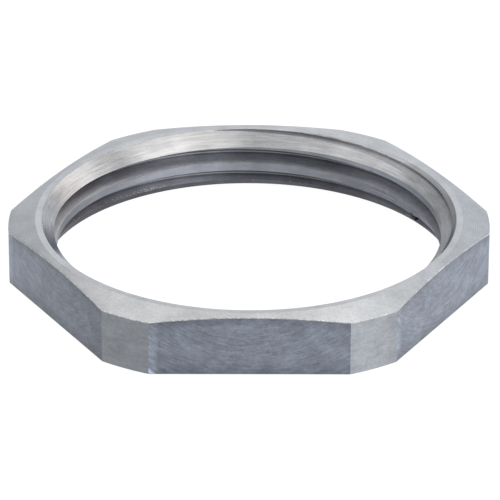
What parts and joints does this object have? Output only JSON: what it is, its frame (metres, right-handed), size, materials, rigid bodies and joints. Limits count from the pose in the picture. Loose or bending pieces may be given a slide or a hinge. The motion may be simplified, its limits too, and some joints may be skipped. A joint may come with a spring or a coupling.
{
  "type": "cable gland lock nut",
  "caption": "Thin hexagonal steel lock nut with turned-down corners, a chamfered top face and a countersunk metric thread, for clamping a cable gland to a panel.",
  "frame": {"origin": "centre of the plain bottom face, on the thread's axis", "axes": "+Z along the thread's axis towards the chamfered top face; a pair of flats faces -Y and +Y, and two of the corners lie on -X and +X"},
  "size_m": [0.0295, 0.027, 0.0038],
  "materials": {
    "turned_steel": "bare turned and milled steel, satin, with fine tool marks"
  },
  "bodies": {
    "root": {"lock_nut": "turned_steel"}
  },
  "joints": []
}
